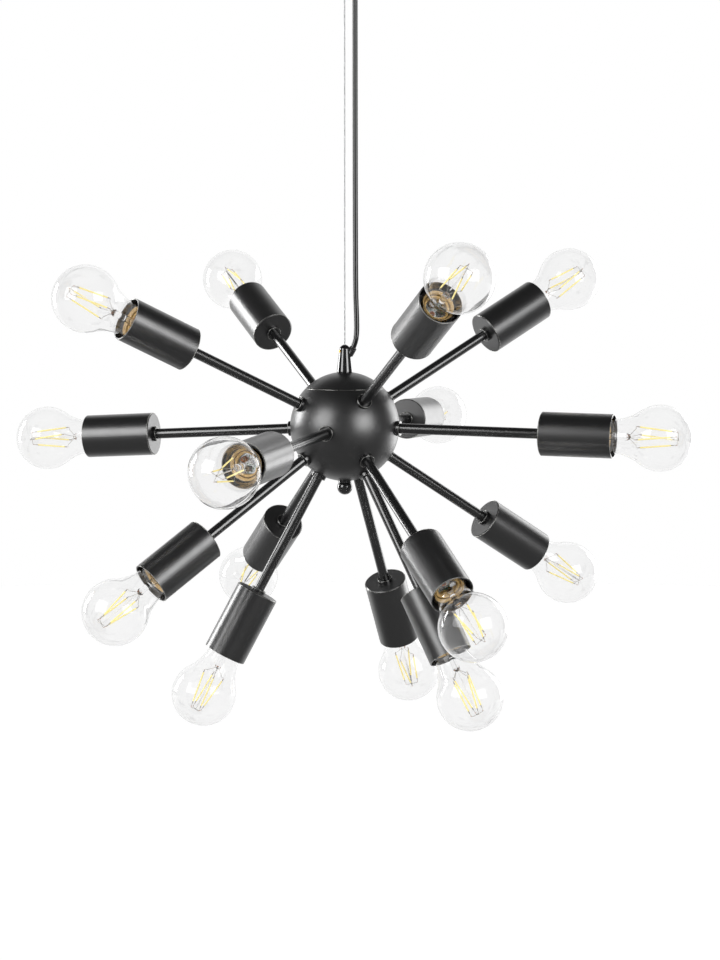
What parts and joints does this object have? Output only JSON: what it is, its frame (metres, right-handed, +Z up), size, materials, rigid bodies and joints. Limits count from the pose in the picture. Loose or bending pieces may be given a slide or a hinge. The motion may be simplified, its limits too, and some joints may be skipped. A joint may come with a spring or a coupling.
{
  "type": "sputnik chandelier",
  "caption": "Sputnik pendant chandelier: thin tubes radiate from a ball hub, each ending in a cup with a clear filament bulb, hung on a wire and cord from a ceiling canopy.",
  "frame": {"origin": "on the ceiling plane, at the middle of the canopy and its strap", "axes": "+Z up into the ceiling, +X to the viewer's right, -Y towards the viewer"},
  "size_m": [0.6279, 0.6171, 0.719],
  "materials": {
    "hub_powder_coat": "satin black powder coat on pressed steel",
    "arm_powder_coat": "semi-gloss black paint on steel tube",
    "collar_powder_coat": "semi-gloss black paint on turned steel",
    "cup_powder_coat": "satin black powder coat on turned steel",
    "canopy_powder_coat": "satin black powder coat on pressed steel",
    "grip_gloss_black": "moulded glossy black plastic",
    "bulb_glass": "clear blown glass",
    "black_phenolic": "moulded black phenolic",
    "nickel_plated_brass": "nickel-plated brass",
    "zinc_plated_steel": "bright zinc plate",
    "cord_pvc": "glossy black PVC sheath",
    "wire_steel": "bare stranded steel"
  },
  "bodies": {
    "ceiling": {"ceiling_canopy": "canopy_powder_coat", "ceiling_strap": "zinc_plated_steel", "canopy_fittings": "canopy_powder_coat"},
    "suspension": {"suspension_wire": "wire_steel", "power_cord": "cord_pvc", "cord_grip": "grip_gloss_black", "grip_fittings": "grip_gloss_black", "hub_nipple": "zinc_plated_steel"},
    "fixture": {"hub_shell": "hub_powder_coat", "hub_cap": "hub_powder_coat", "hub_finial": "hub_powder_coat", "arm_collars": "collar_powder_coat", "arm_nuts": "zinc_plated_steel", "lampholders": "black_phenolic", "screw_shells": "nickel_plated_brass", "arm_upper_1": "arm_powder_coat", "arm_upper_2": "arm_powder_coat", "arm_upper_3": "arm_powder_coat", "arm_upper_4": "arm_powder_coat", "arm_middle_1": "arm_powder_coat", "arm_middle_2": "arm_powder_coat", "arm_middle_3": "arm_powder_coat", "arm_middle_4": "arm_powder_coat", "arm_lower_1": "arm_powder_coat", "arm_lower_2": "arm_powder_coat", "arm_lower_3": "arm_powder_coat", "arm_lower_4": "arm_powder_coat", "arm_bottom_1": "arm_powder_coat", "arm_bottom_2": "arm_powder_coat", "arm_bottom_3": "arm_powder_coat", "lamp_cup_upper_1": "cup_powder_coat", "lamp_cup_upper_2": "cup_powder_coat", "lamp_cup_upper_3": "cup_powder_coat", "lamp_cup_upper_4": "cup_powder_coat", "lamp_cup_middle_1": "cup_powder_coat", "lamp_cup_middle_2": "cup_powder_coat", "lamp_cup_middle_3": "cup_powder_coat", "lamp_cup_middle_4": "cup_powder_coat", "lamp_cup_lower_1": "cup_powder_coat", "lamp_cup_lower_2": "cup_powder_coat", "lamp_cup_lower_3": "cup_powder_coat", "lamp_cup_lower_4": "cup_powder_coat", "lamp_cup_bottom_1": "cup_powder_coat", "lamp_cup_bottom_2": "cup_powder_coat", "lamp_cup_bottom_3": "cup_powder_coat"},
    "bulb_upper_1": {"bulb_upper_1": "bulb_glass"},
    "bulb_upper_2": {"bulb_upper_2": "bulb_glass"},
    "bulb_upper_3": {"bulb_upper_3": "bulb_glass"},
    "bulb_upper_4": {"bulb_upper_4": "bulb_glass"},
    "bulb_middle_1": {"bulb_middle_1": "bulb_glass"},
    "bulb_middle_2": {"bulb_middle_2": "bulb_glass"},
    "bulb_middle_3": {"bulb_middle_3": "bulb_glass"},
    "bulb_middle_4": {"bulb_middle_4": "bulb_glass"},
    "bulb_lower_1": {"bulb_lower_1": "bulb_glass"},
    "bulb_lower_2": {"bulb_lower_2": "bulb_glass"},
    "bulb_lower_3": {"bulb_lower_3": "bulb_glass"},
    "bulb_lower_4": {"bulb_lower_4": "bulb_glass"},
    "bulb_bottom_1": {"bulb_bottom_1": "bulb_glass"},
    "bulb_bottom_2": {"bulb_bottom_2": "bulb_glass"},
    "bulb_bottom_3": {"bulb_bottom_3": "bulb_glass"}
  },
  "joints": [
    {"name": "wire_swing", "type": "hinge", "parent": "ceiling", "child": "suspension", "pos_m": [0, 0, -0.033], "axis": [1, 0, 0], "range_deg": [-10, 10]},
    {"name": "hub_turn", "type": "hinge", "parent": "suspension", "child": "fixture", "pos_m": [0, 0, -0.3897], "axis": [0, 0, 1], "range_deg": [-170, 170]},
    {"name": "bulb_upper_1_out", "type": "slide", "parent": "fixture", "child": "bulb_upper_1", "axis": [0.3417, -0.8051, 0.4848], "range_m": [0, 0.036]},
    {"name": "bulb_upper_2_out", "type": "slide", "parent": "fixture", "child": "bulb_upper_2", "axis": [0.7722, 0.4106, 0.4848], "range_m": [0, 0.036]},
    {"name": "bulb_upper_3_out", "type": "slide", "parent": "fixture", "child": "bulb_upper_3", "axis": [-0.4106, 0.7722, 0.4848], "range_m": [0, 0.036]},
    {"name": "bulb_upper_4_out", "type": "slide", "parent": "fixture", "child": "bulb_upper_4", "axis": [-0.8002, -0.4255, 0.4226], "range_m": [0, 0.036]},
    {"name": "bulb_middle_1_out", "type": "slide", "parent": "fixture", "child": "bulb_middle_1", "axis": [0.9562, -0.2923, -0.0175], "range_m": [0, 0.036]},
    {"name": "bulb_middle_2_out", "type": "slide", "parent": "fixture", "child": "bulb_middle_2", "axis": [0.3255, 0.9454, -0.0175], "range_m": [0, 0.036]},
    {"name": "bulb_middle_3_out", "type": "slide", "parent": "fixture", "child": "bulb_middle_3", "axis": [-0.969, 0.2416, -0.0523], "range_m": [0, 0.036]},
    {"name": "bulb_middle_4_out", "type": "slide", "parent": "fixture", "child": "bulb_middle_4", "axis": [-0.3248, -0.9432, -0.0698], "range_m": [0, 0.036]},
    {"name": "bulb_lower_1_out", "type": "slide", "parent": "fixture", "child": "bulb_lower_1", "axis": [0.3892, -0.732, -0.5592], "range_m": [0, 0.036]},
    {"name": "bulb_lower_2_out", "type": "slide", "parent": "fixture", "child": "bulb_lower_2", "axis": [0.7686, 0.3584, -0.5299], "range_m": [0, 0.036]},
    {"name": "bulb_lower_3_out", "type": "slide", "parent": "fixture", "child": "bulb_lower_3", "axis": [-0.3546, 0.7271, -0.5878], "range_m": [0, 0.036]},
    {"name": "bulb_lower_4_out", "type": "slide", "parent": "fixture", "child": "bulb_lower_4", "axis": [-0.718, -0.4145, -0.5592], "range_m": [0, 0.036]},
    {"name": "bulb_bottom_1_out", "type": "slide", "parent": "fixture", "child": "bulb_bottom_1", "axis": [0.3983, -0.3714, -0.8387], "range_m": [0, 0.036]},
    {"name": "bulb_bottom_2_out", "type": "slide", "parent": "fixture", "child": "bulb_bottom_2", "axis": [0.2204, 0.4145, -0.8829], "range_m": [0, 0.036]},
    {"name": "bulb_bottom_3_out", "type": "slide", "parent": "fixture", "child": "bulb_bottom_3", "axis": [-0.4669, -0.0491, -0.8829], "range_m": [0, 0.036]}
  ]
}
